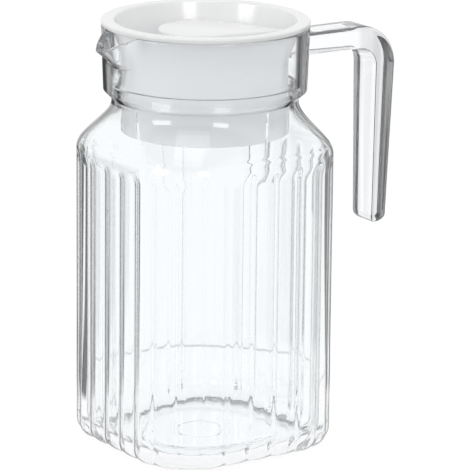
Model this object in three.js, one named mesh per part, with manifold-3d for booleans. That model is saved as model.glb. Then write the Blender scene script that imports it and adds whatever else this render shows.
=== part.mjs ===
// Clear plastic carafe with a fluted body, a pouring lip, a hook handle and a white lift-off lid.
// Millimetres, +Z up. The origin is on the neck's axis at the underside of the base.
// The handle points along +X and the pouring lip along -X.

import * as THREE from "three";
import { mergeVertices } from "three/addons/utils/BufferGeometryUtils.js";
import Module from "manifold-3d";

// Driving dimensions

// Gap where two separately moulded pieces meet
const joinGap = 0.3;

// Fluted body: a square with large round corners, its sides measured at the flutes' crests
const bodyHalfSide = 47;
const bodyCornerRadius = 28;
const bodyWall = 2.6;
const baseThickness = 3.2;
const heelRadius = 6;
const innerHeelHeight = 8;
const innerHeelReach = 6.9;
const floorStraight = 9;
const fluteCount = 28;
const fluteDepth = 1.2;
const innerFluteDepth = 0.9;
const fluteFade = 6;

// Shoulder: the square turns into the round neck, with the body's seam low on its curve
const shoulderStart = 126;
const shoulderHeight = 21.5;
const seamAboveStart = 4.5;

// Neck and collar: the collar stands out round the mouth, narrows a little downwards and ends in a
// 45 degree chamfer, with a flat ledge inside
const neckRadius = 39.4;
const neckWall = 2.4;
const collarRadius = 43.9;
const collarWall = 3.9;
const collarDraft = 1;
const boreDraft = 0.5;
const collarFoot = 152.7;
const collarHeight = 27.6;
const ledgeAboveFoot = 3.6;
const collarEdgeRadius = 0.8;

// Pouring lip pushed out of the collar
const spoutReach = 10.2;
const spoutDrop = 6.1;
const spoutHeight = 14.8;
const spoutHalfAngle = THREE.MathUtils.degToRad(16);

// Hook handle: a level arm, a bend and a limb that hangs free, with its outer edges well rounded
const armBelowRim = 8;
const armThickness = 9.2;
const limbInnerFace = 82.6;
const limbTopThickness = 10.8;
const limbEndThickness = 8.6;
const handleDrop = 88.7;
const handleRootWidth = 18;
const handleEndWidth = 14.3;
const bendOuterRadius = 18;
const bendInnerRadius = 8.5;
const limbEndRadius = 4;
const handleOuterEdge = 3;
const handleInnerEdge = 0.5;

// Lid: a rim that sits on the collar, and a dished top whose cone and upright wall stand in the mouth
const lidRimOverhang = 0.1;
const lidRimThickness = 1.7;
const lidRimEdgeRadius = 0.7;
const lidConeClearance = 0.3;
const lidConeWall = 1.4;
const lidConeTaper = 4.8;
const lidConeHeight = 14.2;
const lidRecessDepth = 19.3;
const lidFloorThickness = 2;
const lidTurn = THREE.MathUtils.degToRad(-36);

// Lid skirt: a sleeve that hangs in the neck, cut straight across twice for four slots that let it spring
const skirtSetback = 0.1;
const skirtClearance = 2.2;
const skirtWall = 1.8;
const skirtHeight = 26.3;
const slotHeight = 13.3;
const slotWidth = 1;
const slotOffset = 26.3;

// Grip: a hollow drop-shaped boss in the lid's recess
const gripRadius = 17.5;
const gripSetback = 2.5;
const gripTipReach = 34.3;
const gripBelowRim = 4;
const gripWall = 2;
const gripEdgeRadius = 0.8;

// Facets
const stepsPerFlute = 3;
const lidSegments = 72;
const arcSteps = 2;
const shoulderSteps = 6;

// Places worked out from the driving dimensions
const shellSegments = fluteCount * stepsPerFlute;
const floorHalfSide = bodyHalfSide - bodyWall - innerHeelReach;
const floorCornerRadius = floorHalfSide - floorStraight;
const seamHeight = shoulderStart + seamAboveStart;
const shoulderTop = shoulderStart + shoulderHeight;
const collarTop = collarFoot + collarHeight;
const collarBore = collarRadius - collarWall;
const neckBore = neckRadius - neckWall;
const collarFootRadius = collarRadius - collarDraft;
const chamferFoot = collarFoot - (collarFootRadius - neckRadius);
const ledgeHeight = collarFoot + ledgeAboveFoot;
const spoutFoot = collarTop - spoutHeight;
const armTop = collarTop - armBelowRim;
const armUnderside = armTop - armThickness;
const handleBottom = armTop - handleDrop;
const lidSeat = collarTop + joinGap;
const lidTop = lidSeat + lidRimThickness;
const lidFloor = lidTop - lidRecessDepth;
const lidFloorUnderside = lidFloor - lidFloorThickness;
const lidRimRadius = collarRadius + lidRimOverhang;
const coneFoot = lidSeat - lidConeHeight;
const coneTopRadius = collarBore - lidConeClearance;
const coneFootRadius = coneTopRadius - lidConeTaper;
const lidMouthRadius = coneTopRadius - lidConeWall;
const lidFloorRadius = coneFootRadius - lidConeWall;
const skirtRadius = neckBore - skirtClearance;
const skirtTopRadius = coneFootRadius - skirtSetback;
const skirtTop = lidFloorUnderside - joinGap;
const skirtBottom = skirtTop - skirtHeight;
const slotTop = skirtBottom + slotHeight;
const gripBase = lidFloor + joinGap;
const gripTop = lidTop - gripBelowRim;

const wasm = await Module();
wasm.setup();

// Keep only positions, share equal vertices and drop triangles that have collapsed on the axis
function closedBody(geometry) {
  const bare = geometry.index ? geometry.toNonIndexed() : geometry.clone();
  bare.deleteAttribute("normal");
  bare.deleteAttribute("uv");
  const merged = mergeVertices(bare, 1e-4);
  const index = merged.index.array;
  const kept = [];
  for (let i = 0; i < index.length; i += 3) {
    const corners = [index[i], index[i + 1], index[i + 2]];
    if (new Set(corners).size === 3) {
      kept.push(...corners);
    }
  }
  merged.setIndex(kept);
  return merged;
}

function toSolid(geometry) {
  const body = closedBody(geometry);
  const mesh = new wasm.Mesh({
    numProp: 3,
    vertProperties: new Float32Array(body.attributes.position.array),
    triVerts: new Uint32Array(body.index.array),
  });
  return new wasm.Manifold(mesh);
}

function toGeometry(solid) {
  const mesh = solid.getMesh();
  const geometry = new THREE.BufferGeometry();
  geometry.setAttribute("position", new THREE.BufferAttribute(mesh.vertProperties, 3));
  geometry.setIndex(new THREE.BufferAttribute(mesh.triVerts, 1));
  return geometry;
}

// Points of a path, with round stretches in a few steps and no point twice in a row
function pathPoints(path) {
  const points = path.getPoints(arcSteps);
  return points.filter((point, i) => i === 0 || point.distanceTo(points[i - 1]) > 1e-6);
}

// Turn a profile of (radius, height) points round the Z axis
function roundLathe(path) {
  const lathe = new THREE.LatheGeometry(pathPoints(path), lidSegments);
  return closedBody(lathe.rotateX(Math.PI / 2));
}

// Values from one to another in even steps, both included
function levels(from, to, steps) {
  return Array.from({ length: steps + 1 }, (_, i) => THREE.MathUtils.lerp(from, to, i / steps));
}

// Clear shell: a fluted square that changes into a round neck

// Point and outward normal on a rounded square, by the share of its perimeter from the middle of +X
function squareOutline(turn, halfSide, cornerRadius) {
  const straight = halfSide - cornerRadius;
  const side = 2 * straight + (Math.PI / 2) * cornerRadius;
  const along = turn * 4 * side + straight;
  const quarter = Math.floor(along / side);
  const rest = along - quarter * side;
  const point = new THREE.Vector2(halfSide, rest - straight);
  const normal = new THREE.Vector2(1, 0);
  if (rest > 2 * straight) {
    const bend = (rest - 2 * straight) / cornerRadius;
    normal.set(Math.cos(bend), Math.sin(bend));
    point.set(straight, straight).addScaledVector(normal, cornerRadius);
  }
  const centre = new THREE.Vector2(0, 0);
  const quarterTurn = quarter * (Math.PI / 2);
  point.rotateAround(centre, quarterTurn);
  normal.rotateAround(centre, quarterTurn);
  return { point, normal };
}

// 0 on a flute's crest and 1 in the valley between two flutes, with a crest in the middle of each side
function valleyShare(turn) {
  const across = turn * fluteCount + 0.5;
  const fromCrest = 2 * (across - Math.floor(across)) - 1;
  return fromCrest * fromCrest;
}

// How far a point of the collar leans out into the pouring lip, from 0 to 1
function spoutShare(angle, height) {
  const fromTip = Math.PI - Math.abs(angle);
  const across = Math.max(0, 1 - fromTip / spoutHalfAngle);
  const up = THREE.MathUtils.clamp((height - spoutFoot) / spoutHeight, 0, 1);
  return across * up;
}

// Place a point of the shell. The inset runs inwards from the body's crests and the neck's outside.
function placeOnShell(inset, height, depth, turn) {
  const { point, normal } = squareOutline(turn, bodyHalfSide, bodyCornerRadius);
  const angle = Math.atan2(point.y, point.x);
  const fade = 1 - THREE.MathUtils.smoothstep(height, shoulderStart - fluteFade, shoulderStart);
  point.addScaledVector(normal, -inset - depth * fade * valleyShare(turn));
  const lean = spoutShare(angle, height);
  const radius = neckRadius - inset + spoutReach * lean;
  const round = new THREE.Vector2(Math.cos(angle), Math.sin(angle)).multiplyScalar(radius);
  point.lerp(round, THREE.MathUtils.smoothstep(height, shoulderStart, shoulderTop));
  return new THREE.Vector3(point.x, point.y, height - spoutDrop * lean);
}

// A ring of the shell is a function that gives its point at a share of the way round
function outerRing(inset, height) {
  return (turn) => placeOnShell(inset, height, fluteDepth, turn);
}

function innerRing(inset, height) {
  return (turn) => placeOnShell(inset, height, innerFluteDepth, turn);
}

function axisPoint(height) {
  return () => new THREE.Vector3(0, 0, height);
}

// The inner heel bends the wall into the floor, whose outline is rounder than the wall's
function innerHeelRing(bend) {
  return (turn) => {
    const wall = placeOnShell(bodyWall, baseThickness + innerHeelHeight, innerFluteDepth, turn);
    const { point, normal } = squareOutline(turn, floorHalfSide, floorCornerRadius);
    point.addScaledVector(normal, -innerFluteDepth * valleyShare(turn));
    const vertex = new THREE.Vector3(point.x, point.y, wall.z).lerp(wall, Math.cos(bend));
    return vertex.setZ(wall.z - innerHeelHeight * Math.sin(bend));
  };
}

// Join rings of points into a body
function ringedBody(rings, segments) {
  const outline = rings.map((_, j) => new THREE.Vector2(neckRadius, j));
  const lathe = new THREE.LatheGeometry(outline, segments);
  const position = lathe.attributes.position;
  for (let i = 0; i <= segments; i += 1) {
    const turn = (i % segments) / segments;
    rings.forEach((ring, j) => {
      const vertex = ring(turn);
      position.setXYZ(i * rings.length + j, vertex.x, vertex.y, vertex.z);
    });
  }
  return closedBody(lathe);
}

function fluteEndLevels() {
  const top = seamHeight - joinGap / 2;
  return [...levels(shoulderStart - fluteFade, shoulderStart, arcSteps), top];
}

function fluteBody() {
  const heel = new THREE.Path();
  heel.absarc(heelRadius, heelRadius, heelRadius, -Math.PI / 2, -Math.PI, true);
  const rings = [
    axisPoint(0),
    ...pathPoints(heel).map((point) => outerRing(point.x, point.y)),
    ...fluteEndLevels().map((height) => outerRing(0, height)),
    ...fluteEndLevels().toReversed().map((height) => innerRing(bodyWall, height)),
    ...levels(0, Math.PI / 2, 2 * arcSteps).map((bend) => innerHeelRing(bend)),
    axisPoint(baseThickness),
  ];
  return ringedBody(rings, shellSegments);
}

function neckSection() {
  const foot = seamHeight + joinGap / 2;
  const climb = levels(foot, shoulderTop, shoulderSteps);
  const downCollar = (height) => (collarTop - height) / collarHeight;
  const collarRing = (height) => outerRing(neckRadius - collarRadius + collarDraft * downCollar(height), height);
  const boreRing = (height) => innerRing(neckRadius - collarBore + boreDraft * downCollar(height), height);
  const wallAt = (height) => {
    const up = (height - foot) / (shoulderTop - foot);
    return THREE.MathUtils.lerp(bodyWall, neckWall, up);
  };
  const rings = [
    ...climb.map((height) => outerRing(0, height)),
    outerRing(0, chamferFoot),
    ...[collarFoot, spoutFoot, collarTop - collarEdgeRadius].map(collarRing),
    outerRing(neckRadius - collarRadius + collarEdgeRadius, collarTop),
    ...[collarTop, spoutFoot, ledgeHeight].map(boreRing),
    innerRing(neckWall, ledgeHeight),
    ...climb.toReversed().map((height) => innerRing(wallAt(height), height)),
  ];
  return ringedBody([...rings, rings[0]], shellSegments);
}

// Handle: cross-sections joined along the arm, round the bend and down the limb, then cut to the collar

// Cross-section as points of (across, outwards), with small inner edges and large outer ones
function handleSection(width, thickness) {
  const half = width / 2;
  const inner = Math.min(handleInnerEdge, thickness / 4);
  const outer = Math.min(handleOuterEdge, thickness / 2);
  const path = new THREE.Path();
  path.moveTo(half - inner, 0);
  path.lineTo(half, inner);
  path.lineTo(half, thickness - outer);
  path.absarc(half - outer, thickness - outer, outer, 0, Math.PI / 2);
  path.lineTo(outer - half, thickness);
  path.absarc(outer - half, thickness - outer, outer, Math.PI / 2, Math.PI);
  path.lineTo(-half, inner);
  path.lineTo(inner - half, 0);
  return pathPoints(path);
}

// A station of the handle joins a point of its inner outline to one of its outer outline
function station(innerX, innerZ, outerX, outerZ, narrowing) {
  const inner = new THREE.Vector2(innerX, innerZ);
  const outer = new THREE.Vector2(outerX, outerZ);
  return { inner, outer, narrowing };
}

function handleStations() {
  const limbOuterFace = limbInnerFace + limbTopThickness;
  const limbEndFace = limbInnerFace + limbEndThickness;
  const bend = levels(Math.PI / 2, 0, 2 * arcSteps).map((angle) => {
    const across = 1 - Math.cos(angle);
    const up = 1 - Math.sin(angle);
    return station(
      limbInnerFace - bendInnerRadius * across,
      armUnderside - bendInnerRadius * up,
      limbOuterFace - bendOuterRadius * across,
      armTop - bendOuterRadius * up,
      0,
    );
  });
  const end = levels(0, Math.PI / 2, 2 * arcSteps).map((angle) => {
    const inset = limbEndRadius * (1 - Math.cos(angle));
    const level = handleBottom + limbEndRadius * (1 - Math.sin(angle));
    return station(limbInnerFace + inset, level, limbEndFace - inset, level, inset);
  });
  return [station(neckBore, armUnderside, neckBore, armTop, 0), ...bend, ...end];
}

function handleRings() {
  return handleStations().map(({ inner, outer, narrowing }) => {
    const down = (armTop - (inner.y + outer.y) / 2) / handleDrop;
    const width = THREE.MathUtils.lerp(handleRootWidth, handleEndWidth, down) - 2 * narrowing;
    const section = handleSection(width, inner.distanceTo(outer));
    const outwards = outer.clone().sub(inner).normalize();
    return section.map((point) => {
      const place = inner.clone().addScaledVector(outwards, point.y);
      return new THREE.Vector3(place.x, point.x, place.y);
    });
  });
}

function handle() {
  const sections = handleRings();
  const middles = [sections[0], sections.at(-1)].map((section) => {
    const sum = section.reduce((total, point) => total.add(point), new THREE.Vector3());
    return () => sum.clone().divideScalar(section.length);
  });
  const corners = sections[0].length;
  const sides = sections.map((section) => (turn) => section[Math.round(turn * corners)]);
  const blank = ringedBody([middles[0], ...sides, middles[1]], corners);
  const collarRadiusAt = (height) => {
    return collarRadius - (collarDraft * (collarTop - height)) / collarHeight;
  };
  const seatTop = armTop + armThickness;
  const seatFoot = armUnderside - armThickness;
  const seat = new THREE.CylinderGeometry(
    collarRadiusAt(seatTop) + joinGap,
    collarRadiusAt(seatFoot) + joinGap,
    seatTop - seatFoot,
    lidSegments,
  );
  seat.rotateX(Math.PI / 2);
  seat.translate(0, 0, (seatTop + seatFoot) / 2);
  return toGeometry(toSolid(blank).subtract(toSolid(seat)));
}

// Lid pieces

function lidCap() {
  const path = new THREE.Path();
  const edge = lidRimEdgeRadius;
  path.moveTo(0, lidFloorUnderside);
  path.lineTo(coneFootRadius, lidFloorUnderside);
  path.lineTo(coneFootRadius, coneFoot);
  path.lineTo(coneTopRadius, lidSeat);
  path.lineTo(lidRimRadius, lidSeat);
  path.lineTo(lidRimRadius, lidTop - edge);
  path.absarc(lidRimRadius - edge, lidTop - edge, edge, 0, Math.PI / 2);
  path.lineTo(lidMouthRadius + edge, lidTop);
  path.absarc(lidMouthRadius + edge, lidTop - edge, edge, Math.PI / 2, Math.PI);
  path.lineTo(lidFloorRadius, coneFoot);
  path.lineTo(lidFloorRadius, lidFloor);
  path.lineTo(0, lidFloor);
  return roundLathe(path);
}

function lidSkirt() {
  const path = new THREE.Path();
  path.moveTo(skirtTopRadius - skirtWall, skirtTop);
  path.lineTo(skirtRadius - skirtWall, slotTop);
  path.lineTo(skirtRadius - skirtWall, skirtBottom);
  path.lineTo(skirtRadius, skirtBottom);
  path.lineTo(skirtRadius, slotTop);
  path.lineTo(skirtTopRadius, skirtTop);
  path.closePath();
  let sleeve = toSolid(roundLathe(path));
  [-slotOffset, slotOffset].forEach((across) => {
    const cut = new THREE.BoxGeometry(slotWidth, 3 * skirtRadius, 2 * slotHeight);
    cut.translate(across, 0, skirtBottom);
    sleeve = sleeve.subtract(toSolid(cut));
  });
  return toGeometry(sleeve);
}

// Drop outline: a round end that two straight sides leave to meet at the tip on +X
function dropOutline(radius, tip) {
  const flank = Math.acos(radius / (tip + gripSetback));
  const outline = new THREE.Shape();
  outline.moveTo(tip, 0);
  outline.lineTo(radius * Math.cos(flank) - gripSetback, radius * Math.sin(flank));
  outline.absarc(-gripSetback, 0, radius, flank, 2 * Math.PI - flank);
  outline.closePath();
  return outline;
}

function grip() {
  const edge = gripEdgeRadius;
  const boss = new THREE.ExtrudeGeometry(dropOutline(gripRadius, gripTipReach), {
    depth: gripTop - gripBase - 2 * edge,
    curveSegments: 4 * arcSteps,
    bevelThickness: edge,
    bevelSize: edge,
    bevelOffset: -edge,
    bevelSegments: 2,
  });
  boss.translate(0, 0, gripBase + edge);
  const tipSlant = (gripTipReach + gripSetback) / gripRadius;
  const hollow = new THREE.ExtrudeGeometry(
    dropOutline(gripRadius - gripWall, gripTipReach - gripWall * tipSlant),
    { depth: gripTop - gripBase, curveSegments: 4 * arcSteps, bevelEnabled: false },
  );
  hollow.translate(0, 0, gripBase - gripWall);
  const room = new THREE.Path();
  room.moveTo(0, lidFloor);
  room.lineTo(lidFloorRadius - joinGap, lidFloor);
  room.lineTo(lidFloorRadius - joinGap, coneFoot);
  room.lineTo(lidMouthRadius - joinGap, lidTop);
  room.lineTo(0, lidTop);
  return toGeometry(toSolid(boss).intersect(toSolid(roundLathe(room))).subtract(toSolid(hollow)));
}

// Assembly

function clearPlastic() {
  return new THREE.MeshStandardMaterial({
    color: "#eef2f4",
    roughness: 0.05,
    metalness: 0,
    transparent: true,
    opacity: 0.3,
  });
}

function whitePlastic() {
  return new THREE.MeshStandardMaterial({ color: "#f0f1f2", roughness: 0.25, metalness: 0 });
}

function piece(name, geometry, material) {
  const mesh = new THREE.Mesh(geometry, material);
  mesh.name = name;
  return mesh;
}

const jug = new THREE.Group();
jug.add(piece("fluted_body", fluteBody(), clearPlastic()));
jug.add(piece("neck_section", neckSection(), clearPlastic()));
jug.add(piece("handle", handle(), clearPlastic()));

const lid = new THREE.Group();
lid.rotation.z = lidTurn;
lid.add(piece("lid_cap", lidCap(), whitePlastic()));
lid.add(piece("lid_skirt", lidSkirt(), whitePlastic()));
lid.add(piece("lid_grip", grip(), whitePlastic()));

const carafe = new THREE.Group();
carafe.add(jug, lid);

export default carafe;
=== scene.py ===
"""Looks of a clear plastic carafe with a white lift-off lid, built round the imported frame.

Metres, in the frame of the part: +Z up, the handle along +X, the pouring lip along -X.
"""

from math import cos, pi, radians, sin, sqrt

import bpy
import numpy as np
from mathutils import Matrix, Vector


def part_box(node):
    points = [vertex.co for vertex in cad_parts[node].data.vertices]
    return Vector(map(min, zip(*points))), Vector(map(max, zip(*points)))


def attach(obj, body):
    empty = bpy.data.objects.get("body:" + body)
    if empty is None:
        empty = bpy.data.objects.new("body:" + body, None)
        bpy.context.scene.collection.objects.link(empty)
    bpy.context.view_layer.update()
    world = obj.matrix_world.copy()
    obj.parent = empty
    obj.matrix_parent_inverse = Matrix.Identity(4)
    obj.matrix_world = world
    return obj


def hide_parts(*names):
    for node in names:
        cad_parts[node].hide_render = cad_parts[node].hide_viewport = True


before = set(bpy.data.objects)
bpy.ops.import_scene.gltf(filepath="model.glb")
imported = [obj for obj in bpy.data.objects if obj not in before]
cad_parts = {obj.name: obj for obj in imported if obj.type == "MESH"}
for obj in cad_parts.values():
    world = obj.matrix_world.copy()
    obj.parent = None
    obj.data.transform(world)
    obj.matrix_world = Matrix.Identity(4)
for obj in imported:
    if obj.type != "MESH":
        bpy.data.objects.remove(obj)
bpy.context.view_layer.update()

MM = 0.001

# Sizes read from the frame
BODY_LOW, BODY_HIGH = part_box("fluted_body")
NECK_LOW, NECK_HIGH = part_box("neck_section")
HANDLE_LOW, HANDLE_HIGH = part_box("handle")
CAP_LOW, CAP_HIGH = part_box("lid_cap")
SKIRT_LOW, SKIRT_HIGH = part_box("lid_skirt")
_, GRIP_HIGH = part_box("lid_grip")

# Fluted body
BODY_HALF_SIDE = BODY_HIGH.y
BODY_CORNER = 28 * MM
BODY_WALL = 2.6 * MM
HEEL_RADIUS = 6 * MM
FLUTE_COUNT = 28
FLUTE_DEPTH = 1.2 * MM
INNER_FLUTE_DEPTH = 1.15 * MM
FLUTE_FADE = 6 * MM
VALLEY_SOFTNESS = 0.06
VALLEY_SHARPNESS = 2.3

# Base, with a floor that is thinner at its edge and a plain ring in the underside
BASE_THICKNESS = 3.2 * MM
INNER_HEEL_HEIGHT = 8 * MM
FLOOR_EDGE_THICKNESS = 1.8 * MM
FLOOR_HALF_SIDE = 37.5 * MM
FLOOR_CORNER = 28.5 * MM
PLATEAU_RADIUS = 29 * MM
PLATEAU_SLOPE = 4 * MM
BASE_RING_RADIUS = 11.4 * MM
BASE_RING_WIDTH = 1.2 * MM
BASE_RING_DEPTH = 0.5 * MM

# Shoulder, neck and collar
SEAM = (BODY_HIGH.z + NECK_LOW.z) / 2
SEAM_BEAD = 0.12 * MM
SEAM_BEAD_WIDTH = 0.7 * MM
SHOULDER_START = SEAM - 4.5 * MM
SHOULDER_LEAD = 1 * MM
SHOULDER_TOP = SHOULDER_START + 21.5 * MM
NECK_RADIUS = 39.4 * MM
NECK_WALL = 2.4 * MM
COLLAR_RADIUS = 43.9 * MM
COLLAR_INSET = NECK_RADIUS - COLLAR_RADIUS
COLLAR_WALL = 3.9 * MM
COLLAR_DRAFT = 1 * MM
BORE_DRAFT = 0.5 * MM
COLLAR_FOOT = 152.7 * MM
COLLAR_TOP = NECK_HIGH.z
COLLAR_EDGE = 0.8 * MM
COLLAR_BEND = 0.5 * MM
LEDGE_HEIGHT = COLLAR_FOOT + 3.6 * MM
LEDGE_EDGE = 0.3 * MM

# Pouring lip
SPOUT_REACH = 10 * MM
SPOUT_DROP = 6.1 * MM
SPOUT_HEIGHT = 14.8 * MM
SPOUT_HALF_ANGLE = radians(16)
SPOUT_SOFTNESS = 0.1
SPOUT_CUTOFF = 2

# Hook handle
ARM_THICKNESS = 9.2 * MM
ARM_ROOT = COLLAR_RADIUS - 1.8 * MM
LIMB_INNER_FACE = 82.6 * MM
LIMB_END_THICKNESS = 8.6 * MM
LIMB_END_RADIUS = 4 * MM
HANDLE_ROOT_WIDTH = 18 * MM
HANDLE_END_WIDTH = 14.3 * MM
HANDLE_OUTER_EDGE = 3 * MM
HANDLE_INNER_EDGE = 0.5 * MM
BEND_OUTER = 18 * MM
BEND_INNER = 8.5 * MM

# Lid
LID_TURN = radians(-36)
RIM_THICKNESS = 1.7 * MM
RIM_EDGE = 0.7 * MM
RIM_FOOT_EDGE = RIM_EDGE / 2
SEAT_GAP = 0.25 * MM
CONE_TOP_RADIUS = 39.7 * MM
CONE_FOOT_RADIUS = 34.9 * MM
CONE_WALL = 1.4 * MM
CONE_HEIGHT = 14.2 * MM
LID_FLOOR_THICKNESS = 2 * MM
LID_FLOOR = CAP_LOW.z + LID_FLOOR_THICKNESS
LID_FLOOR_FILLET = 1.5 * MM
SKIRT_WALL = 1.8 * MM
SKIRT_EDGE = SKIRT_WALL / 4
SLOT_HEIGHT = 13.3 * MM
SLOT_WIDTH = 1 * MM
SLOT_OFFSET = 26.3 * MM
GRIP_RADIUS = 17.5 * MM
GRIP_SETBACK = 2.5 * MM
GRIP_TIP_REACH = 34.3 * MM
GRIP_TIP_RADIUS = 0.8 * MM
GRIP_EDGE = 0.8 * MM

# Steps along the meshes' curves
FLUTE_STEPS = 16
FADE_STEPS = 10
INNER_FADE_STEPS = 8
HEEL_STEPS = 12
PLATEAU_STEPS = 8
SHOULDER_STEPS = 40
INNER_SHOULDER_STEPS = 24
COLLAR_STEPS = 12
EDGE_STEPS = 4
BORE_EDGE_STEPS = 3
BEND_STEPS = 32
LIMB_END_STEPS = 12
HANDLE_OUTER_STEPS = 10
HANDLE_INNER_STEPS = 3
LID_SEGMENTS = 192
LID_ROUND_STEPS = 8
GRIP_ROUND_STEPS = 64
GRIP_EDGE_STEPS = 6

# Smooth shading: faces meet in a sharp edge above these angles. A ring this far from a bend keeps
# the bend's shading off the straight face beside it.
JUG_SHARP_ANGLE = radians(50)
LID_SHARP_ANGLE = radians(35)
STRAIGHT_MARGIN = 0.5 * MM

# Clear plastic. A grain is the scale and the detail of a noise.
CLEAR_IOR = 1.55
CLEAR_COLOUR = (0.965, 0.979, 0.989, 1)
# Colour of the painted shade at the clear plastic's edges
CLEAR_PAINTED_SHADE_COLOUR = (0.02, 0.022, 0.025, 1)
CLEAR_ROUGHNESS = (0.0, 0.02)
CLEAR_ROUGHNESS_GRAIN = (60, 3)

# Painted shade on the clear plastic's edges, where light glances off or is held inside:
# reflectances between which it comes up, and how dark it gets
EDGE_START = 0.12
EDGE_FULL = 0.34
EDGE_CLARITY = 0.05
HELD_START = 0.3
HELD_FULL = 1.0
COLLAR_HELD = 0.55
ARM_HELD = 0.4
LIMB_HELD = 0.75
# Painted shade on the two sides of the handle's limb
LIMB_SIDE_PAINTED_SHADE = 0.32

# Where the looks of the clear plastic change
LIP_END = 2 * MM - COLLAR_RADIUS
COLLAR_UNDERSIDE = COLLAR_FOOT - 4 * MM
HANDLE_START = BODY_HALF_SIDE + 4 * MM
LIMB_START = LIMB_INNER_FACE - 2 * MM
CHANGE_ACROSS = 2 * MM
CHANGE_UP = 1 * MM
FACING = 0.8
FACING_SOFTNESS = 0.15

# White plastic
WHITE_COLOURS = ((0.86, 0.865, 0.87, 1), (0.89, 0.892, 0.895, 1))
WHITE_COLOUR_GRAIN = (45, 4)
WHITE_ROUGHNESS = (0.1, 0.18)
WHITE_ROUGHNESS_GRAIN = (220, 3)
WHITE_BUMP = 0.02 * MM
WHITE_BUMP_GRAIN = (900, 2)

# Studio. A ray depth above the threshold means that the ray has bounced.
BACKDROP_COLOUR = (1, 1, 1, 1)
FLOOR_COLOUR = (0.1, 0.1, 0.1, 1)
FLOOR_ROUGHNESS = 0.9
FLOOR_SIZE = 12
FLOOR_DROP = 0.3 * MM
FLOOR_GLOW = 0.93
FLOOR_LIGHT = 0.3
WORLD_LIGHT = 0.79
LIGHT_THROUGH = 1.5
TURNTABLE_RADIUS = 136.5 * MM
TURNTABLE_EDGE = 3 * MM
TURNTABLE_DARKNESS = 0.42
CEILING_START = radians(34)
CEILING_SOFTNESS = radians(8)
CEILING_DARKNESS = 0.6
MAX_BOUNCES = 128
BOUNCE_THRESHOLD = 0.5

# Dark cards on the floor: left and right in degrees from the photo's view, then near and far from
# the axis. They fade at near and far over a share of near.
FLOOR_CARDS = (
    (-75, -57, 0.1, 0.58),
    (-51, -31, 0.1, 0.58),
    (-19, -13, 0.1, 0.58),
    (38, 54, 0.1, 0.58),
    (-75, -8, 0.58, 0.78),
    (9, 18, 0.58, 2),
    (34, 55, 0.58, 2),
)
CARD_DARKNESS = 0.97
CARD_SOFTNESS = radians(2)
CARD_FADE = 0.07

# View of the photograph, whose frame is square
CAMERA_AZIMUTH = radians(-33.34)
CAMERA_ELEVATION = radians(14.72)
CAMERA_ROLL = radians(0.46)
CAMERA_DISTANCE = 1.5426
CAMERA_LENS = 278.07
CAMERA_SENSOR = 36
AIM_HEIGHT = 90 * MM
AIM_RIGHT = 13.2 * MM
AIM_UP = -1.2 * MM


# Mesh helpers


def new_object(name, verts, faces):
    mesh = bpy.data.meshes.new(name)
    mesh.from_pydata([tuple(v) for v in verts], [], faces)
    mesh.validate()
    mesh.update()
    obj = bpy.data.objects.new(name, mesh)
    bpy.context.scene.collection.objects.link(obj)
    return obj


def smooth(obj, sharp_angle):
    mesh = obj.data
    mesh.polygons.foreach_set("use_smooth", [True] * len(mesh.polygons))
    mesh.set_sharp_from_angle(angle=sharp_angle)


def painted(obj, material):
    obj.data.materials.clear()
    obj.data.materials.append(material)


def boolean(obj, other, operation):
    """Cut another object from this one or join it on, and remove the other."""
    modifier = obj.modifiers.new("cut", "BOOLEAN")
    modifier.operation = operation
    modifier.solver = "EXACT"
    modifier.object = other
    graph = bpy.context.evaluated_depsgraph_get()
    mesh = bpy.data.meshes.new_from_object(obj.evaluated_get(graph))
    obj.modifiers.clear()
    obj.data = mesh
    bpy.data.objects.remove(other)


def arc(centre, radius, start, end, steps):
    """Points of an arc from one angle to another, in degrees."""
    angles = np.radians(np.linspace(start, end, steps + 1))
    return [(centre[0] + radius * cos(a), centre[1] + radius * sin(a)) for a in angles]


def span(low, high, steps):
    return list(np.linspace(low, high, steps + 1))


def smoothstep(x, low, high):
    t = np.clip((x - low) / (high - low), 0, 1)
    return t * t * (3 - 2 * t)


def grid_faces(rings, around, closed=False):
    """Quads between rings of points, each ring closed on itself."""
    faces = []
    last = rings if closed else rings - 1
    for j in range(last):
        k = (j + 1) % rings
        for i in range(around):
            n = (i + 1) % around
            faces.append((j * around + i, j * around + n, k * around + n, k * around + i))
    return faces


def capped(name, rings, first, last):
    """A solid from rings of points, closed at each end by a point in its middle."""
    around = len(rings[0])
    verts = [point for ring in rings for point in ring]
    faces = grid_faces(len(rings), around)
    start = len(verts)
    top = start - around
    for i in range(around):
        n = (i + 1) % around
        faces.append((start, n, i))
        faces.append((start + 1, top + i, top + n))
    return new_object(name, verts + [first, last], faces)


def turned_ring(radius, height):
    angles = np.linspace(0, 2 * pi, LID_SEGMENTS, endpoint=False)
    return [(radius * cos(a), radius * sin(a), height) for a in angles]


# Clear jug


def quarter_turned(vector, quarters):
    cosine = np.cos(quarters * pi / 2)
    sine = np.sin(quarters * pi / 2)
    return np.stack([cosine * vector[0] - sine * vector[1], sine * vector[0] + cosine * vector[1]])


def square_outline(turn, half_side, corner):
    """Points and outward normals on a rounded square, by the share of its way round from +X."""
    straight = half_side - corner
    side = 2 * straight + pi / 2 * corner
    along = turn * 4 * side + straight
    quarter = np.floor(along / side)
    rest = along - quarter * side
    bend = np.clip((rest - 2 * straight) / corner, 0, None)
    on_side = np.clip(rest, None, 2 * straight) - straight
    normal = np.stack([np.cos(bend), np.sin(bend)])
    point = np.stack([straight + corner * normal[0], on_side + corner * normal[1]])
    return quarter_turned(point, quarter), quarter_turned(normal, quarter)


def valley_share(turn):
    """0 on a flute's crest and near 1 in the softened valley between two flutes."""
    across = turn * FLUTE_COUNT + 0.5
    from_valley = 1 - np.abs(2 * (across - np.floor(across)) - 1)
    from_crest = np.clip(1 - np.sqrt(from_valley**2 + VALLEY_SOFTNESS**2), 0, None)
    return from_crest**VALLEY_SHARPNESS


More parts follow.
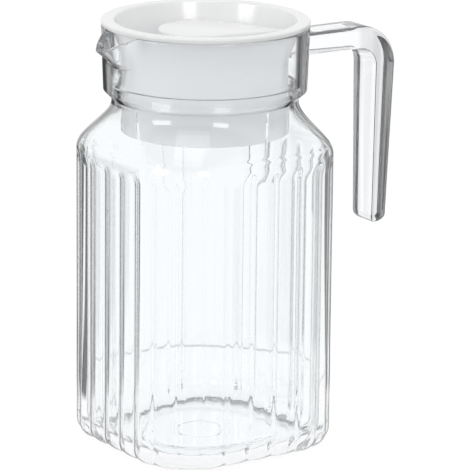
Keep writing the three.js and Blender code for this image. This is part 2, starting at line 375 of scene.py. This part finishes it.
def spout_share(angle, height):
    """How far the pouring lip leans out, from 0 beside and below it to 1 at its tip."""
    from_tip = (pi - np.abs(angle)) / SPOUT_HALF_ANGLE
    ridge = 1 - np.sqrt(from_tip**2 + SPOUT_SOFTNESS**2)
    across = (ridge + np.sqrt(ridge**2 + SPOUT_SOFTNESS**2)) / 2
    across = np.where(from_tip < SPOUT_CUTOFF, across / np.max(across), 0)
    up = np.clip((height - COLLAR_TOP + SPOUT_HEIGHT) / SPOUT_HEIGHT, 0, 1)
    return across * up


def shell_ring(inset, height, depth, turn):
    """One ring of the shell, with its inset from the flutes' crests or the neck's outside."""
    point, normal = square_outline(turn, BODY_HALF_SIDE, BODY_CORNER)
    angle = np.arctan2(point[1], point[0])
    fade = 1 - smoothstep(height, SHOULDER_START - FLUTE_FADE, SHOULDER_START)
    point = point - normal * (inset + depth * fade * valley_share(turn))
    lean = spout_share(angle, height)
    radius = NECK_RADIUS - inset + SPOUT_REACH * lean
    change = smoothstep(height, SHOULDER_START, SHOULDER_TOP)
    x = point[0] * (1 - change) + radius * np.cos(angle) * change
    y = point[1] * (1 - change) + radius * np.sin(angle) * change
    z = height - SPOUT_DROP * lean
    return np.stack([x, y, z], axis=1)


def seam_inset(height):
    """The seam's bead, as an inset below zero."""
    return -SEAM_BEAD * np.exp(-(((height - SEAM) / SEAM_BEAD_WIDTH) ** 2))


def shoulder_wall(height):
    """The wall's thickness, from the neck's at the shoulder's top to the body's at the seam."""
    down = (SHOULDER_TOP - height) / (SHOULDER_TOP - SEAM)
    return min(NECK_WALL + (BODY_WALL - NECK_WALL) * down, BODY_WALL)


def down_collar(height):
    """0 at the collar's rim and 1 at its foot."""
    return (COLLAR_TOP - height) / (COLLAR_TOP - COLLAR_FOOT)


def outer_profile():
    """(inset, height) from the base's edge up to the collar's rim."""
    heel = [(HEEL_RADIUS + STRAIGHT_MARGIN, BODY_LOW.z)]
    heel += arc((HEEL_RADIUS, HEEL_RADIUS), HEEL_RADIUS, 270, 180, HEEL_STEPS)
    fade_start = SHOULDER_START - FLUTE_FADE
    wall = [(0, HEEL_RADIUS + STRAIGHT_MARGIN), (0, fade_start - STRAIGHT_MARGIN)]
    fade = [(0, z) for z in span(fade_start, SHOULDER_START, FADE_STEPS)]
    climb = span(SHOULDER_START + SHOULDER_LEAD, SHOULDER_TOP, SHOULDER_STEPS)
    shoulder = [(seam_inset(z), z) for z in climb]
    bend = COLLAR_BEND * (sqrt(2) - 1)
    drafted = COLLAR_INSET + COLLAR_DRAFT
    foot = arc((-COLLAR_BEND, COLLAR_FOOT + drafted - bend), COLLAR_BEND, 0, 45, EDGE_STEPS)
    brow = arc((drafted + COLLAR_BEND, COLLAR_FOOT + bend), COLLAR_BEND, 225, 180, EDGE_STEPS)
    climb = span(COLLAR_TOP - SPOUT_HEIGHT, COLLAR_TOP - 2 * COLLAR_EDGE, COLLAR_STEPS)
    collar = [(COLLAR_INSET + COLLAR_DRAFT * down_collar(z), z) for z in climb]
    rim_centre = (COLLAR_INSET + COLLAR_EDGE, COLLAR_TOP - COLLAR_EDGE)
    rim = arc(rim_centre, COLLAR_EDGE, 180, 90, EDGE_STEPS)
    return heel + wall + fade + shoulder + foot + brow + collar + rim


def inner_profile():
    """(inset, height) from the collar's rim down the inside to the top of the inner heel."""
    bore = COLLAR_INSET + COLLAR_WALL
    edge = COLLAR_EDGE / 2
    rim = arc((bore - edge, COLLAR_TOP - edge), edge, 90, 0, BORE_EDGE_STEPS)
    descent = span(COLLAR_TOP - 2 * edge, COLLAR_TOP - SPOUT_HEIGHT, COLLAR_STEPS) + [LEDGE_HEIGHT]
    collar = [(bore + BORE_DRAFT * down_collar(z), z) for z in descent]
    ledge_centre = (NECK_WALL - LEDGE_EDGE, LEDGE_HEIGHT - LEDGE_EDGE)
    ledge = arc(ledge_centre, LEDGE_EDGE, 90, 0, EDGE_STEPS)
    descent = span(SHOULDER_TOP, SHOULDER_START, INNER_SHOULDER_STEPS)
    shoulder = [(shoulder_wall(z), z) for z in descent]
    fade_start = SHOULDER_START - FLUTE_FADE
    heel_top = BASE_THICKNESS + INNER_HEEL_HEIGHT
    descent = span(SHOULDER_START, fade_start, INNER_FADE_STEPS)[1:]
    descent += [fade_start - STRAIGHT_MARGIN, heel_top + STRAIGHT_MARGIN]
    body = [(BODY_WALL, z) for z in descent]
    return rim + collar + ledge + shoulder + body


def inner_heel_rings(turn):
    """Rings that round the inner wall into the floor, whose outline is rounder than the wall's."""
    top = BASE_THICKNESS + INNER_HEEL_HEIGHT
    wall = shell_ring(BODY_WALL, top, INNER_FLUTE_DEPTH, turn)
    edge, normal = square_outline(turn, FLOOR_HALF_SIDE, FLOOR_CORNER)
    edge = edge - normal * INNER_FLUTE_DEPTH * valley_share(turn)
    floor_edge = np.column_stack([edge.T, np.full(len(turn), FLOOR_EDGE_THICKNESS)])
    rings = []
    for a in np.radians(np.linspace(0, 90, HEEL_STEPS + 1)):
        ring = floor_edge + (wall - floor_edge) * cos(a)
        ring[:, 2] = FLOOR_EDGE_THICKNESS + (top - FLOOR_EDGE_THICKNESS) * (1 - sin(a))
        rings.append(ring)
    level = edge - normal * STRAIGHT_MARGIN
    rings.append(np.column_stack([level.T, floor_edge[:, 2]]))
    return rings


def round_ring(turn, radius, height):
    """A round ring whose points lie in line with those of the body's outline."""
    point, _ = square_outline(turn, BODY_HALF_SIDE, BODY_CORNER)
    angle = np.arctan2(point[1], point[0])
    level = np.full(len(turn), height)
    return np.stack([radius * np.cos(angle), radius * np.sin(angle), level], axis=1)


def plateau_rings(turn):
    """Rings that raise the middle of the floor above its edge."""
    rings = []
    for share in np.linspace(0, 1, PLATEAU_STEPS + 1):
        radius = PLATEAU_RADIUS + PLATEAU_SLOPE * (1 - share)
        rise = (BASE_THICKNESS - FLOOR_EDGE_THICKNESS) * smoothstep(share, 0, 1)
        rings.append(round_ring(turn, radius, FLOOR_EDGE_THICKNESS + rise))
    return rings + [round_ring(turn, PLATEAU_RADIUS - STRAIGHT_MARGIN, BASE_THICKNESS)]


def base_ring(turn):
    """Rings of a shallow plain groove in the middle of the underside, from the inside out."""
    half = BASE_RING_WIDTH / 2
    levels = [(-half, 0), (-half / 2, BASE_RING_DEPTH), (half / 2, BASE_RING_DEPTH), (half, 0)]
    return [round_ring(turn, BASE_RING_RADIUS + out, BODY_LOW.z + rise) for out, rise in levels]


def jug_shell():
    around = FLUTE_COUNT * FLUTE_STEPS
    turn = np.arange(around) / around
    rings = base_ring(turn)
    rings += [shell_ring(inset, z, FLUTE_DEPTH, turn) for inset, z in outer_profile()]
    rings += [shell_ring(inset, z, INNER_FLUTE_DEPTH, turn) for inset, z in inner_profile()]
    rings += inner_heel_rings(turn) + plateau_rings(turn)
    return capped("clear_jug", rings, (0, 0, BODY_LOW.z), (0, 0, BASE_THICKNESS))


def handle_section(width, thickness):
    """Cross-section as (across, outwards) points, with small inner edges and large outer ones."""
    half = width / 2
    inner = min(HANDLE_INNER_EDGE, thickness / 4)
    outer = min(HANDLE_OUTER_EDGE, thickness / 2)
    points = arc((half - inner, inner), inner, 270, 360, HANDLE_INNER_STEPS)
    points += arc((half - outer, thickness - outer), outer, 0, 90, HANDLE_OUTER_STEPS)
    points += arc((outer - half, thickness - outer), outer, 90, 180, HANDLE_OUTER_STEPS)
    points += arc((inner - half, inner), inner, 180, 270, HANDLE_INNER_STEPS)
    return points


def handle_stations():
    """Inner point, outer point and narrowing of each section from the collar to the limb's end."""
    top = HANDLE_HIGH.z
    under = top - ARM_THICKNESS
    inner_centre = (LIMB_INNER_FACE - BEND_INNER, under - BEND_INNER)
    outer_centre = (HANDLE_HIGH.x - BEND_OUTER, top - BEND_OUTER)
    inner_bend = arc(inner_centre, BEND_INNER, 90, 0, BEND_STEPS)
    outer_bend = arc(outer_centre, BEND_OUTER, 90, 0, BEND_STEPS)
    stations = [((ARM_ROOT, under), (ARM_ROOT, top), 0)]
    stations += [(inner, outer, 0) for inner, outer in zip(inner_bend, outer_bend)]
    end = LIMB_INNER_FACE + LIMB_END_THICKNESS
    for a in np.radians(np.linspace(0, 90, LIMB_END_STEPS + 1)):
        inset = LIMB_END_RADIUS * (1 - cos(a))
        level = HANDLE_LOW.z + LIMB_END_RADIUS * (1 - sin(a))
        stations.append(((LIMB_INNER_FACE + inset, level), (end - inset, level), inset))
    return stations


def handle_solid():
    verts = []
    for inner_point, outer_point, narrowing in handle_stations():
        inner = np.array(inner_point)
        outer = np.array(outer_point)
        thickness = np.linalg.norm(outer - inner)
        middle = (inner[1] + outer[1]) / 2
        down = (HANDLE_HIGH.z - middle) / (HANDLE_HIGH.z - HANDLE_LOW.z)
        width = HANDLE_ROOT_WIDTH + (HANDLE_END_WIDTH - HANDLE_ROOT_WIDTH) * down - 2 * narrowing
        section = handle_section(width, thickness)
        for across, outwards in section:
            x, z = inner + (outer - inner) * outwards / thickness
            verts.append((x, across, z))
    count = len(section)
    sections = len(verts) // count
    root = list(reversed(range(count)))
    tip = list(range((sections - 1) * count, sections * count))
    return new_object("handle_blank", verts, grid_faces(sections, count) + [root, tip])


def clear_jug(material):
    """The jug as one mesh, because the plastic shows no inner faces where its pieces meet."""
    jug = jug_shell()
    boolean(jug, handle_solid(), "UNION")
    smooth(jug, JUG_SHARP_ANGLE)
    painted(jug, material)
    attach(jug, "jug")
    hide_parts("fluted_body", "neck_section", "handle")


# Lid


def dress_lid(obj, material, node):
    obj.data.transform(Matrix.Rotation(LID_TURN, 4, "Z"))
    smooth(obj, LID_SHARP_ANGLE)
    painted(obj, material)
    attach(obj, "lid")
    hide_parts(node)


def lid_top(material):
    """The rim and the dished top, turned round Z from its underside to its floor."""
    top = CAP_HIGH.z
    seat = top - RIM_THICKNESS - SEAT_GAP
    cone_foot = top - RIM_THICKNESS - CONE_HEIGHT
    rim = CAP_HIGH.y
    mouth = CONE_TOP_RADIUS - CONE_WALL
    floor_radius = CONE_FOOT_RADIUS - CONE_WALL
    fillet_centre = (floor_radius - LID_FLOOR_FILLET, LID_FLOOR + LID_FLOOR_FILLET)
    profile = [(CONE_FOOT_RADIUS, CAP_LOW.z)]
    profile += [(CONE_FOOT_RADIUS, cone_foot), (CONE_TOP_RADIUS, seat)]
    profile += arc((rim - RIM_FOOT_EDGE, seat + RIM_FOOT_EDGE), RIM_FOOT_EDGE, 270, 360, EDGE_STEPS)
    profile += arc((rim - RIM_EDGE, top - RIM_EDGE), RIM_EDGE, 0, 90, LID_ROUND_STEPS)
    profile += arc((mouth + RIM_EDGE, top - RIM_EDGE), RIM_EDGE, 90, 180, LID_ROUND_STEPS)
    profile += [(floor_radius, cone_foot)]
    profile += arc(fillet_centre, LID_FLOOR_FILLET, 0, -90, LID_ROUND_STEPS)
    rings = [turned_ring(radius, z) for radius, z in profile]
    obj = capped("lid_top", rings, (0, 0, CAP_LOW.z), (0, 0, LID_FLOOR))
    dress_lid(obj, material, "lid_cap")


def slot_cutter(radius, x):
    """A straight cut with a round upper end, right across the sleeve."""
    half = SLOT_WIDTH / 2
    top = SKIRT_LOW.z + SLOT_HEIGHT - half
    foot = SKIRT_LOW.z - SLOT_WIDTH
    outline = [(-half, foot), (half, foot)] + arc((0, top), half, 0, 180, LID_ROUND_STEPS)
    count = len(outline)
    verts = [(x + dx, y, z) for y in (-radius, radius) for dx, z in outline]
    near = list(range(count))
    far = list(reversed(range(count, 2 * count)))
    sides = []
    for i in range(count):
        n = (i + 1) % count
        sides.append((n, i, count + i, count + n))
    return new_object("slot", verts, [near, far] + sides)


def lid_sleeve(material):
    """The sleeve under the lid, with two cuts right across it that make its four slots."""
    radius = SKIRT_HIGH.y
    bore = radius - SKIRT_WALL
    foot = SKIRT_LOW.z + SKIRT_EDGE
    profile = [(bore, CAP_LOW.z)]
    profile += arc((bore + SKIRT_EDGE, foot), SKIRT_EDGE, 180, 270, EDGE_STEPS)
    profile += arc((radius - SKIRT_EDGE, foot), SKIRT_EDGE, 270, 360, EDGE_STEPS)
    profile += [(radius, CAP_LOW.z)]
    verts = [point for r, z in profile for point in turned_ring(r, z)]
    obj = new_object("lid_sleeve", verts, grid_faces(len(profile), LID_SEGMENTS, closed=True))
    for x in (-SLOT_OFFSET, SLOT_OFFSET):
        boolean(obj, slot_cutter(radius, x), "DIFFERENCE")
    dress_lid(obj, material, "lid_skirt")


def drop_outline():
    """A round end with two straight sides that meet in a small round tip on +X."""
    tip_centre = GRIP_TIP_REACH - GRIP_TIP_RADIUS
    slant = np.degrees(np.arccos((GRIP_RADIUS - GRIP_TIP_RADIUS) / (tip_centre + GRIP_SETBACK)))
    tip = arc((tip_centre, 0), GRIP_TIP_RADIUS, -slant, slant, LID_ROUND_STEPS)
    return tip + arc((-GRIP_SETBACK, 0), GRIP_RADIUS, slant, 360 - slant, GRIP_ROUND_STEPS)


def lid_boss(material):
    """The drop-shaped grip, from the lid's floor up to its rounded upper edge."""
    outline = np.array(drop_outline())
    count = len(outline)
    ahead = np.roll(outline, -1, axis=0) - np.roll(outline, 1, axis=0)
    ahead /= np.linalg.norm(ahead, axis=1)[:, None]
    inward = np.stack([-ahead[:, 1], ahead[:, 0]], axis=1)
    levels = [(0, LID_FLOOR)]
    levels += arc((GRIP_EDGE, GRIP_HIGH.z - GRIP_EDGE), GRIP_EDGE, 180, 90, GRIP_EDGE_STEPS)
    verts = [(*(outline[i] + inset * inward[i]), z) for inset, z in levels for i in range(count)]
    top = (len(levels) - 1) * count
    upper = list(range(top, top + count))
    lower = list(reversed(range(count)))
    obj = new_object("lid_boss", verts, grid_faces(len(levels), count) + [upper, lower])
    dress_lid(obj, material, "lid_grip")


# Node helpers


def calculated(tree, operation, *values):
    """The result of a maths node, or of a row of them for more than two values.

    Each value is a socket or a number.
    """
    node = tree.nodes.new("ShaderNodeMath")
    node.operation = operation
    for socket, value in zip(node.inputs, values[:2]):
        if isinstance(value, bpy.types.NodeSocket):
            tree.links.new(value, socket)
        else:
            socket.default_value = value
    result = node.outputs[0]
    if len(values) > 2:
        return calculated(tree, operation, result, *values[2:])
    return result


def complement(tree, share):
    """1 less a share."""
    return calculated(tree, "SUBTRACT", 1.0, share)


def step_up(tree, value, edge, softness):
    """0 below an edge and 1 above it, with a soft change between."""
    node = tree.nodes.new("ShaderNodeMapRange")
    node.interpolation_type = "SMOOTHSTEP"
    node.inputs["From Min"].default_value = edge - softness
    node.inputs["From Max"].default_value = edge + softness
    tree.links.new(value, node.inputs["Value"])
    return node.outputs["Result"]


def band(tree, value, low, high, softness):
    """1 between two edges and 0 outside them."""
    above_low = step_up(tree, value, low, softness)
    above_high = step_up(tree, value, high, softness)
    return calculated(tree, "SUBTRACT", above_low, above_high)


def ranged(tree, share, low, high):
    """A share from 0 to 1 as a value from low to high."""
    node = tree.nodes.new("ShaderNodeMapRange")
    node.inputs["To Min"].default_value = low
    node.inputs["To Max"].default_value = high
    tree.links.new(share, node.inputs["Value"])
    return node.outputs["Result"]


def mixed(tree, share, first, second):
    """A colour between two, by the share of the second."""
    node = tree.nodes.new("ShaderNodeMix")
    node.data_type = "RGBA"
    node.inputs["A"].default_value = first
    node.inputs["B"].default_value = second
    tree.links.new(share, node.inputs["Factor"])
    return node.outputs["Result"]


def noise(tree, scale, detail):
    place = tree.nodes.new("ShaderNodeTexCoord")
    texture = tree.nodes.new("ShaderNodeTexNoise")
    texture.inputs["Scale"].default_value = scale
    texture.inputs["Detail"].default_value = detail
    tree.links.new(place.outputs["Object"], texture.inputs["Vector"])
    return texture.outputs["Fac"]


def bumped(tree, height, distance):
    """A normal that is bumped by a height from 0 to 1 over a distance."""
    node = tree.nodes.new("ShaderNodeBump")
    node.inputs["Strength"].default_value = 1.0
    node.inputs["Distance"].default_value = distance
    tree.links.new(height, node.inputs["Height"])
    return node.outputs["Normal"]


def object_axes(tree, output):
    """The three parts of a place or a normal in the object's own axes."""
    place = tree.nodes.new("ShaderNodeTexCoord")
    parts = tree.nodes.new("ShaderNodeSeparateXYZ")
    tree.links.new(place.outputs[output], parts.inputs["Vector"])
    return parts.outputs


def view_axes(tree, output):
    """The three parts of a place, with +Y along the photo's view, and the length of all three."""
    place = tree.nodes.new("ShaderNodeTexCoord")
    turned = tree.nodes.new("ShaderNodeVectorRotate")
    turned.rotation_type = "Z_AXIS"
    turned.inputs["Angle"].default_value = -CAMERA_AZIMUTH
    tree.links.new(place.outputs[output], turned.inputs["Vector"])
    parts = tree.nodes.new("ShaderNodeSeparateXYZ")
    tree.links.new(turned.outputs["Vector"], parts.inputs["Vector"])
    length = tree.nodes.new("ShaderNodeVectorMath")
    length.operation = "LENGTH"
    tree.links.new(turned.outputs["Vector"], length.inputs[0])
    return (*parts.outputs, length.outputs["Value"])


# Materials


def material_nodes(name):
    material = bpy.data.materials.new(name)
    material.use_nodes = True
    tree = material.node_tree
    return material, tree, tree.nodes["Principled BSDF"]


def fresnel_share(tree, low, high):
    """0 where light goes through the plastic, 1 where it glances off or is held inside."""
    fresnel = tree.nodes.new("ShaderNodeFresnel")
    fresnel.inputs["IOR"].default_value = CLEAR_IOR
    return step_up(tree, fresnel.outputs["Fac"], (low + high) / 2, (high - low) / 2)


def facing_share(tree, axis):
    """1 on faces that look along an axis and 0 on those that lie along it."""
    along = calculated(tree, "ABSOLUTE", object_axes(tree, "Normal")[axis])
    return step_up(tree, along, FACING, FACING_SOFTNESS)


def clear_regions(tree):
    """Where the collar, what lies below it, the handle and the handle's limb are."""
    x, _, z = object_axes(tree, "Object")
    above_foot = step_up(tree, z, COLLAR_FOOT, CHANGE_UP)
    behind_lip = step_up(tree, x, LIP_END, CHANGE_ACROSS)
    collar = calculated(tree, "MULTIPLY", above_foot, behind_lip)
    below = complement(tree, step_up(tree, z, COLLAR_UNDERSIDE, CHANGE_UP))
    handle = step_up(tree, x, HANDLE_START, CHANGE_ACROSS)
    limb = step_up(tree, x, LIMB_START, CHANGE_ACROSS)
    return collar, below, handle, limb


def painted_edge_shade(tree):
    """How much painted shade darkens the plastic's edges.

    They are dark on glancing light outside, and on held light where the plastic is thick. Level
    faces below the collar and on the handle stay clear of the first.
    """
    collar, below, handle, limb = clear_regions(tree)
    inside = tree.nodes.new("ShaderNodeNewGeometry").outputs["Backfacing"]
    outside = complement(tree, inside)
    clear_side = calculated(tree, "MAXIMUM", below, handle)
    level = calculated(tree, "MULTIPLY", facing_share(tree, "Z"), clear_side)
    glancing = fresnel_share(tree, EDGE_START, EDGE_FULL)
    glance = calculated(tree, "MULTIPLY", glancing, outside, complement(tree, level))
    collar_held = calculated(tree, "MULTIPLY", collar, COLLAR_HELD)
    arm_held = calculated(tree, "MULTIPLY", handle, ARM_HELD)
    limb_held = calculated(tree, "MULTIPLY", limb, LIMB_HELD)
    thick = calculated(tree, "MAXIMUM", collar_held, arm_held, limb_held)
    held = calculated(tree, "MULTIPLY", fresnel_share(tree, HELD_START, HELD_FULL), inside, thick)
    return calculated(tree, "ADD", glance, held)


def painted_limb_side_shade(tree):
    """How much painted shade darkens the two sides of the handle's limb."""
    *_, limb = clear_regions(tree)
    return calculated(tree, "MULTIPLY", facing_share(tree, "Y"), limb, LIMB_SIDE_PAINTED_SHADE)


def clear_plastic():
    material, tree, shader = material_nodes("clear_plastic")
    shader.inputs["IOR"].default_value = CLEAR_IOR
    # Painted shade: the colour darkens at the edges and on the limb's sides, and the edges let less
    # light through
    edge = painted_edge_shade(tree)
    painted_shade = calculated(tree, "MAXIMUM", edge, painted_limb_side_shade(tree))
    colour = mixed(tree, painted_shade, CLEAR_COLOUR, CLEAR_PAINTED_SHADE_COLOUR)
    clarity = ranged(tree, edge, 1, EDGE_CLARITY)
    roughness = ranged(tree, noise(tree, *CLEAR_ROUGHNESS_GRAIN), *CLEAR_ROUGHNESS)
    tree.links.new(colour, shader.inputs["Base Color"])
    tree.links.new(clarity, shader.inputs["Transmission Weight"])
    tree.links.new(roughness, shader.inputs["Roughness"])
    return material


def white_plastic():
    material, tree, shader = material_nodes("white_plastic")
    colour = mixed(tree, noise(tree, *WHITE_COLOUR_GRAIN), *WHITE_COLOURS)
    roughness = ranged(tree, noise(tree, *WHITE_ROUGHNESS_GRAIN), *WHITE_ROUGHNESS)
    normal = bumped(tree, noise(tree, *WHITE_BUMP_GRAIN), WHITE_BUMP)
    tree.links.new(colour, shader.inputs["Base Color"])
    tree.links.new(roughness, shader.inputs["Roughness"])
    tree.links.new(normal, shader.inputs["Normal"])
    return material


# Studio


def floor_cards(tree):
    """How dark the floor is by its cards."""
    x, y, _, distance = view_axes(tree, "Object")
    angle = calculated(tree, "ARCTAN2", x, y)
    cards = []
    for left, right, near, far in FLOOR_CARDS:
        across = band(tree, angle, radians(left), radians(right), CARD_SOFTNESS)
        along = band(tree, distance, near, far, near * CARD_FADE)
        cards.append(calculated(tree, "MULTIPLY", across, along))
    return calculated(tree, "MULTIPLY", calculated(tree, "MAXIMUM", *cards), CARD_DARKNESS)


def turntable_edge(tree):
    """How dark the edge of the studio's turntable is, a thin ring on the floor round the object."""
    *_, distance = view_axes(tree, "Object")
    half = TURNTABLE_EDGE / 2
    line = band(tree, distance, TURNTABLE_RADIUS - half, TURNTABLE_RADIUS + half, half)
    return calculated(tree, "MULTIPLY", line, TURNTABLE_DARKNESS)


def ceiling_card(tree):
    """How dark the studio is above the backdrop."""
    _, _, z, length = view_axes(tree, "Generated")
    rise = calculated(tree, "ARCSINE", calculated(tree, "DIVIDE", z, length))
    above = step_up(tree, rise, CEILING_START, CEILING_SOFTNESS)
    return calculated(tree, "MULTIPLY", above, CEILING_DARKNESS)


def backdrop_strength(tree, cards, light, line=0.0):
    """White where it is looked at, and a set light for what it lights.

    Cards darken it for rays that were mirrored, and a line for rays that came through the clear
    plastic. Rays that leave a white face through the clear plastic find it brighter, because the
    lamps don't shine in through it.
    """
    path = tree.nodes.new("ShaderNodeLightPath").outputs
    looks = (path["Is Camera Ray"], path["Is Glossy Ray"], path["Is Transmission Ray"])
    seen = calculated(tree, "MAXIMUM", *looks)
    mirrored = calculated(tree, "GREATER_THAN", path["Glossy Depth"], BOUNCE_THRESHOLD)
    through = calculated(tree, "GREATER_THAN", path["Transmission Depth"], BOUNCE_THRESHOLD)
    from_white = calculated(tree, "GREATER_THAN", path["Diffuse Depth"], BOUNCE_THRESHOLD)
    card = calculated(tree, "MULTIPLY", mirrored, cards)
    drawn = calculated(tree, "MULTIPLY", through, line)
    shown = calculated(tree, "SUBTRACT", 1.0, card, drawn)
    brighter = calculated(tree, "MULTIPLY", from_white, LIGHT_THROUGH)
    shown = calculated(tree, "MAXIMUM", shown, brighter)
    lit = calculated(tree, "MULTIPLY", complement(tree, seen), light)
    return calculated(tree, "ADD", calculated(tree, "MULTIPLY", seen, shown), lit)


def studio_floor():
    half = FLOOR_SIZE / 2
    z = BODY_LOW.z - FLOOR_DROP
    corners = [(-half, -half, z), (half, -half, z), (half, half, z), (-half, half, z)]
    obj = new_object("floor", corners, [(0, 1, 2, 3)])
    material, tree, shader = material_nodes("floor")
    shader.inputs["Base Color"].default_value = FLOOR_COLOUR
    shader.inputs["Roughness"].default_value = FLOOR_ROUGHNESS
    shader.inputs["Specular IOR Level"].default_value = 0
    shader.inputs["Emission Color"].default_value = BACKDROP_COLOUR
    strength = backdrop_strength(tree, floor_cards(tree), FLOOR_LIGHT, turntable_edge(tree))
    glow = calculated(tree, "MULTIPLY", strength, FLOOR_GLOW)
    tree.links.new(glow, shader.inputs["Emission Strength"])
    painted(obj, material)


def studio_world():
    world = bpy.data.worlds.new("studio")
    bpy.context.scene.world = world
    world.use_nodes = True
    tree = world.node_tree
    background = tree.nodes["Background"]
    background.inputs["Color"].default_value = BACKDROP_COLOUR
    strength = backdrop_strength(tree, ceiling_card(tree), WORLD_LIGHT)
    tree.links.new(strength, background.inputs["Strength"])


def softbox(name, side, elevation, distance, width, height, radiance, mirrored_only=False):
    """An area lamp that faces the object, by its angles in degrees from the camera's side."""
    bearing = CAMERA_AZIMUTH + radians(side)
    rise = radians(elevation)
    away = Vector((sin(bearing) * cos(rise), -cos(bearing) * cos(rise), sin(rise)))
    lamp = bpy.data.lights.new(name, "AREA")
    lamp.shape = "RECTANGLE"
    lamp.size = width
    lamp.size_y = height
    lamp.energy = radiance * pi * width * height
    obj = bpy.data.objects.new(name, lamp)
    bpy.context.scene.collection.objects.link(obj)
    obj.location = Vector((0, 0, AIM_HEIGHT)) + distance * away
    obj.rotation_euler = away.to_track_quat("Z", "Y").to_euler()
    obj.visible_camera = False
    obj.visible_diffuse = not mirrored_only
    obj.visible_transmission = not mirrored_only


def photo_camera():
    flat = Vector((sin(CAMERA_AZIMUTH), -cos(CAMERA_AZIMUTH), 0))
    away = flat * cos(CAMERA_ELEVATION) + Vector((0, 0, sin(CAMERA_ELEVATION)))
    right = Vector((cos(CAMERA_AZIMUTH), sin(CAMERA_AZIMUTH), 0))
    up = away.cross(right)
    centre = Vector((0, 0, AIM_HEIGHT))
    place = centre + CAMERA_DISTANCE * away
    back = (place - (centre + AIM_RIGHT * right + AIM_UP * up)).normalized()
    side = up.cross(back).normalized()
    top = back.cross(side)
    rolled_side = cos(CAMERA_ROLL) * side + sin(CAMERA_ROLL) * top
    rolled_top = cos(CAMERA_ROLL) * top - sin(CAMERA_ROLL) * side
    data = bpy.data.cameras.new("camera")
    data.lens = CAMERA_LENS
    data.sensor_width = CAMERA_SENSOR
    obj = bpy.data.objects.new("camera", data)
    bpy.context.scene.collection.objects.link(obj)
    turn = Matrix((rolled_side, rolled_top, back)).transposed()
    obj.matrix_world = Matrix.Translation(place) @ turn.to_4x4()
    bpy.context.scene.camera = obj


photo_camera()
clear = clear_plastic()
white = white_plastic()
clear_jug(clear)
lid_top(white)
lid_sleeve(white)
lid_boss(white)
studio_floor()
studio_world()

# Lamps: two at the sides, one above, and one before each side lamp that shows only in reflections
right_place = {"side": 21, "elevation": 20}
left_place = {"side": -55, "elevation": 20}
top_place = {"side": -18, "elevation": 80}
softbox("softbox_right", **right_place, distance=1.2, width=0.38, height=0.4, radiance=3)
softbox("softbox_left", **left_place, distance=1.2, width=0.5, height=0.4, radiance=3)
softbox("softbox_top", **top_place, distance=1.2, width=0.7, height=0.7, radiance=0.8)
gleam = {"distance": 1.19, "height": 0.36, "radiance": 3, "mirrored_only": True}
softbox("gleam_right", **right_place, width=0.34, **gleam)
softbox("gleam_left", **left_place, width=0.44, **gleam)

scene = bpy.context.scene
scene.view_settings.view_transform = "Standard"
scene.cycles.max_bounces = MAX_BOUNCES
scene.cycles.transmission_bounces = MAX_BOUNCES
scene.cycles.glossy_bounces = MAX_BOUNCES
